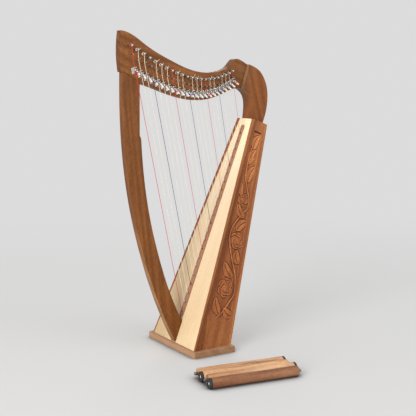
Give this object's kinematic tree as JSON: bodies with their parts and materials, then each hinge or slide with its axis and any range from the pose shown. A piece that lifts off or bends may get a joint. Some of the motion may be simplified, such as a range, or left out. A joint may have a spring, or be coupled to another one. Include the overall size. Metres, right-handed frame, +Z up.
{
  "type": "celtic harp",
  "caption": "Small Celtic lever harp with a carved sound box, curved neck and pillar, sharping levers, tuning pins, base plate and detached screw-in legs.",
  "frame": {"origin": "centre of the base plate's underside", "axes": "+Z up; +X from the pillar to the sound box and player; -Y the side that carries strings and levers"},
  "size_m": [0.4546, 0.5105, 0.853],
  "materials": {
    "walnut": "satin oiled walnut",
    "light_walnut": "satin light walnut",
    "rib_walnut": "satin walnut",
    "spruce": "satin pale spruce",
    "inner_wood": "bare softwood",
    "nylon": "clear, red and dark string material",
    "nickel": "polished nickel plate",
    "eyelet_metal": "darkened metal",
    "brass_steel": "zinc plated steel",
    "black_rubber": "matte black rubber"
  },
  "bodies": {
    "harp": {"base_plate": "light_walnut", "leg_studs_and_inserts": "brass_steel", "legs": "light_walnut", "leg_feet": "black_rubber", "side_panels": "walnut", "soundboard": "spruce", "string_ribs": "rib_walnut", "eyelets": "eyelet_metal", "back_panel": "walnut", "box_frame": "inner_wood", "shoulder_block": "walnut", "neck": "walnut", "pillar": "walnut", "strings": "nylon", "bridge_pins": "nickel", "lever_brackets": "nickel"},
    "tuning_pin_01": {"tuning_pin_01": "nickel"},
    "tuning_pin_02": {"tuning_pin_02": "nickel"},
    "tuning_pin_03": {"tuning_pin_03": "nickel"},
    "tuning_pin_04": {"tuning_pin_04": "nickel"},
    "tuning_pin_05": {"tuning_pin_05": "nickel"},
    "tuning_pin_06": {"tuning_pin_06": "nickel"},
    "tuning_pin_07": {"tuning_pin_07": "nickel"},
    "tuning_pin_08": {"tuning_pin_08": "nickel"},
    "tuning_pin_09": {"tuning_pin_09": "nickel"},
    "tuning_pin_10": {"tuning_pin_10": "nickel"},
    "tuning_pin_11": {"tuning_pin_11": "nickel"},
    "tuning_pin_12": {"tuning_pin_12": "nickel"},
    "tuning_pin_13": {"tuning_pin_13": "nickel"},
    "tuning_pin_14": {"tuning_pin_14": "nickel"},
    "tuning_pin_15": {"tuning_pin_15": "nickel"},
    "tuning_pin_16": {"tuning_pin_16": "nickel"},
    "tuning_pin_17": {"tuning_pin_17": "nickel"},
    "tuning_pin_18": {"tuning_pin_18": "nickel"},
    "tuning_pin_19": {"tuning_pin_19": "nickel"},
    "tuning_pin_20": {"tuning_pin_20": "nickel"},
    "tuning_pin_21": {"tuning_pin_21": "nickel"},
    "tuning_pin_22": {"tuning_pin_22": "nickel"},
    "lever_01": {"lever_01": "nickel"},
    "lever_02": {"lever_02": "nickel"},
    "lever_03": {"lever_03": "nickel"},
    "lever_04": {"lever_04": "nickel"},
    "lever_05": {"lever_05": "nickel"},
    "lever_06": {"lever_06": "nickel"},
    "lever_07": {"lever_07": "nickel"},
    "lever_08": {"lever_08": "nickel"},
    "lever_09": {"lever_09": "nickel"},
    "lever_10": {"lever_10": "nickel"},
    "lever_11": {"lever_11": "nickel"},
    "lever_12": {"lever_12": "nickel"},
    "lever_13": {"lever_13": "nickel"},
    "lever_14": {"lever_14": "nickel"},
    "lever_15": {"lever_15": "nickel"},
    "lever_16": {"lever_16": "nickel"},
    "lever_17": {"lever_17": "nickel"},
    "lever_18": {"lever_18": "nickel"},
    "lever_19": {"lever_19": "nickel"},
    "lever_20": {"lever_20": "nickel"},
    "lever_21": {"lever_21": "nickel"},
    "lever_22": {"lever_22": "nickel"}
  },
  "joints": [
    {"name": "pin_01_turn", "type": "hinge", "parent": "harp", "child": "tuning_pin_01", "pos_m": [-0.1875, 0, 0.81621], "axis": [0, 1, 0], "range_deg": [-720, 90]},
    {"name": "pin_02_turn", "type": "hinge", "parent": "harp", "child": "tuning_pin_02", "pos_m": [-0.16966, 0, 0.80536], "axis": [0, 1, 0], "range_deg": [-720, 90]},
    {"name": "pin_03_turn", "type": "hinge", "parent": "harp", "child": "tuning_pin_03", "pos_m": [-0.15214, 0, 0.79497], "axis": [0, 1, 0], "range_deg": [-720, 90]},
    {"name": "pin_04_turn", "type": "hinge", "parent": "harp", "child": "tuning_pin_04", "pos_m": [-0.13494, 0, 0.78515], "axis": [0, 1, 0], "range_deg": [-720, 90]},
    {"name": "pin_05_turn", "type": "hinge", "parent": "harp", "child": "tuning_pin_05", "pos_m": [-0.11806, 0, 0.77597], "axis": [0, 1, 0], "range_deg": [-720, 90]},
    {"name": "pin_06_turn", "type": "hinge", "parent": "harp", "child": "tuning_pin_06", "pos_m": [-0.1015, 0, 0.76751], "axis": [0, 1, 0], "range_deg": [-720, 90]},
    {"name": "pin_07_turn", "type": "hinge", "parent": "harp", "child": "tuning_pin_07", "pos_m": [-0.08526, 0, 0.75983], "axis": [0, 1, 0], "range_deg": [-720, 90]},
    {"name": "pin_08_turn", "type": "hinge", "parent": "harp", "child": "tuning_pin_08", "pos_m": [-0.06934, 0, 0.75297], "axis": [0, 1, 0], "range_deg": [-720, 90]},
    {"name": "pin_09_turn", "type": "hinge", "parent": "harp", "child": "tuning_pin_09", "pos_m": [-0.05374, 0, 0.74698], "axis": [0, 1, 0], "range_deg": [-720, 90]},
    {"name": "pin_10_turn", "type": "hinge", "parent": "harp", "child": "tuning_pin_10", "pos_m": [-0.03846, 0, 0.7419], "axis": [0, 1, 0], "range_deg": [-720, 90]},
    {"name": "pin_11_turn", "type": "hinge", "parent": "harp", "child": "tuning_pin_11", "pos_m": [-0.0235, 0, 0.73774], "axis": [0, 1, 0], "range_deg": [-720, 90]},
    {"name": "pin_12_turn", "type": "hinge", "parent": "harp", "child": "tuning_pin_12", "pos_m": [-0.00886, 0, 0.73452], "axis": [0, 1, 0], "range_deg": [-720, 90]},
    {"name": "pin_13_turn", "type": "hinge", "parent": "harp", "child": "tuning_pin_13", "pos_m": [0.00546, 0, 0.73226], "axis": [0, 1, 0], "range_deg": [-720, 90]},
    {"name": "pin_14_turn", "type": "hinge", "parent": "harp", "child": "tuning_pin_14", "pos_m": [0.01946, 0, 0.73094], "axis": [0, 1, 0], "range_deg": [-720, 90]},
    {"name": "pin_15_turn", "type": "hinge", "parent": "harp", "child": "tuning_pin_15", "pos_m": [0.03314, 0, 0.73058], "axis": [0, 1, 0], "range_deg": [-720, 90]},
    {"name": "pin_16_turn", "type": "hinge", "parent": "harp", "child": "tuning_pin_16", "pos_m": [0.0465, 0, 0.73114], "axis": [0, 1, 0], "range_deg": [-720, 90]},
    {"name": "pin_17_turn", "type": "hinge", "parent": "harp", "child": "tuning_pin_17", "pos_m": [0.05954, 0, 0.73262], "axis": [0, 1, 0], "range_deg": [-720, 90]},
    {"name": "pin_18_turn", "type": "hinge", "parent": "harp", "child": "tuning_pin_18", "pos_m": [0.07226, 0, 0.73499], "axis": [0, 1, 0], "range_deg": [-720, 90]},
    {"name": "pin_19_turn", "type": "hinge", "parent": "harp", "child": "tuning_pin_19", "pos_m": [0.08466, 0, 0.73823], "axis": [0, 1, 0], "range_deg": [-720, 90]},
    {"name": "pin_20_turn", "type": "hinge", "parent": "harp", "child": "tuning_pin_20", "pos_m": [0.09674, 0, 0.7423], "axis": [0, 1, 0], "range_deg": [-720, 90]},
    {"name": "pin_21_turn", "type": "hinge", "parent": "harp", "child": "tuning_pin_21", "pos_m": [0.1085, 0, 0.74717], "axis": [0, 1, 0], "range_deg": [-720, 90]},
    {"name": "pin_22_turn", "type": "hinge", "parent": "harp", "child": "tuning_pin_22", "pos_m": [0.11994, 0, 0.75279], "axis": [0, 1, 0], "range_deg": [-720, 90]},
    {"name": "lever_01_flip", "type": "hinge", "parent": "harp", "child": "lever_01", "pos_m": [-0.17533, -0.02335, 0.75469], "axis": [-0.9762, 0, -0.2169], "range_deg": [0, 93]},
    {"name": "lever_02_flip", "type": "hinge", "parent": "harp", "child": "lever_02", "pos_m": [-0.15795, -0.02334, 0.74601], "axis": [-0.9763, 0, -0.2163], "range_deg": [0, 92.24]},
    {"name": "lever_03_flip", "type": "hinge", "parent": "harp", "child": "lever_03", "pos_m": [-0.14088, -0.02332, 0.73776], "axis": [-0.9764, 0, -0.2158], "range_deg": [0, 91.48]},
    {"name": "lever_04_flip", "type": "hinge", "parent": "harp", "child": "lever_04", "pos_m": [-0.12411, -0.02331, 0.73003], "axis": [-0.9765, 0, -0.2154], "range_deg": [0, 90.71]},
    {"name": "lever_05_flip", "type": "hinge", "parent": "harp", "child": "lever_05", "pos_m": [-0.10765, -0.0233, 0.72291], "axis": [-0.9766, 0, -0.2151], "range_deg": [0, 89.95]},
    {"name": "lever_06_flip", "type": "hinge", "parent": "harp", "child": "lever_06", "pos_m": [-0.09149, -0.02329, 0.71645], "axis": [-0.9766, 0, -0.215], "range_deg": [0, 89.19]},
    {"name": "lever_07_flip", "type": "hinge", "parent": "harp", "child": "lever_07", "pos_m": [-0.07563, -0.02327, 0.71072], "axis": [-0.9766, 0, -0.215], "range_deg": [0, 88.43]},
    {"name": "lever_08_flip", "type": "hinge", "parent": "harp", "child": "lever_08", "pos_m": [-0.06008, -0.02326, 0.70576], "axis": [-0.9766, 0, -0.2151], "range_deg": [0, 87.67]},
    {"name": "lever_09_flip", "type": "hinge", "parent": "harp", "child": "lever_09", "pos_m": [-0.04484, -0.02325, 0.70162], "axis": [-0.9766, 0, -0.2153], "range_deg": [0, 86.91]},
    {"name": "lever_10_flip", "type": "hinge", "parent": "harp", "child": "lever_10", "pos_m": [-0.0299, -0.02323, 0.69833], "axis": [-0.9765, 0, -0.2156], "range_deg": [0, 86.14]},
    {"name": "lever_11_flip", "type": "hinge", "parent": "harp", "child": "lever_11", "pos_m": [-0.01527, -0.02322, 0.6959], "axis": [-0.9764, 0, -0.2161], "range_deg": [0, 85.38]},
    {"name": "lever_12_flip", "type": "hinge", "parent": "harp", "child": "lever_12", "pos_m": [-0.00094, -0.02321, 0.69435], "axis": [-0.9762, 0, -0.2167], "range_deg": [0, 84.62]},
    {"name": "lever_13_flip", "type": "hinge", "parent": "harp", "child": "lever_13", "pos_m": [0.01309, -0.0232, 0.69369], "axis": [-0.9761, 0, -0.2174], "range_deg": [0, 83.86]},
    {"name": "lever_14_flip", "type": "hinge", "parent": "harp", "child": "lever_14", "pos_m": [0.02681, -0.02318, 0.69392], "axis": [-0.9759, 0, -0.2184], "range_deg": [0, 83.09]},
    {"name": "lever_15_flip", "type": "hinge", "parent": "harp", "child": "lever_15", "pos_m": [0.04022, -0.02317, 0.69504], "axis": [-0.9756, 0, -0.2197], "range_deg": [0, 82.33]},
    {"name": "lever_16_flip", "type": "hinge", "parent": "harp", "child": "lever_16", "pos_m": [0.05333, -0.02316, 0.69703], "axis": [-0.9752, 0, -0.2212], "range_deg": [0, 81.57]},
    {"name": "lever_17_flip", "type": "hinge", "parent": "harp", "child": "lever_17", "pos_m": [0.06614, -0.02314, 0.69988], "axis": [-0.9748, 0, -0.2232], "range_deg": [0, 80.81]},
    {"name": "lever_18_flip", "type": "hinge", "parent": "harp", "child": "lever_18", "pos_m": [0.07864, -0.02313, 0.70356], "axis": [-0.9742, 0, -0.2256], "range_deg": [0, 80.05]},
    {"name": "lever_19_flip", "type": "hinge", "parent": "harp", "child": "lever_19", "pos_m": [0.09083, -0.02312, 0.70805], "axis": [-0.9735, 0, -0.2287], "range_deg": [0, 79.29]},
    {"name": "lever_20_flip", "type": "hinge", "parent": "harp", "child": "lever_20", "pos_m": [0.10272, -0.02311, 0.71332], "axis": [-0.9726, 0, -0.2326], "range_deg": [0, 78.52]},
    {"name": "lever_21_flip", "type": "hinge", "parent": "harp", "child": "lever_21", "pos_m": [0.11431, -0.02309, 0.71933], "axis": [-0.9714, 0, -0.2375], "range_deg": [0, 77.76]},
    {"name": "lever_22_flip", "type": "hinge", "parent": "harp", "child": "lever_22", "pos_m": [0.12559, -0.02308, 0.72605], "axis": [-0.9698, 0, -0.2438], "range_deg": [0, 77]}
  ]
}
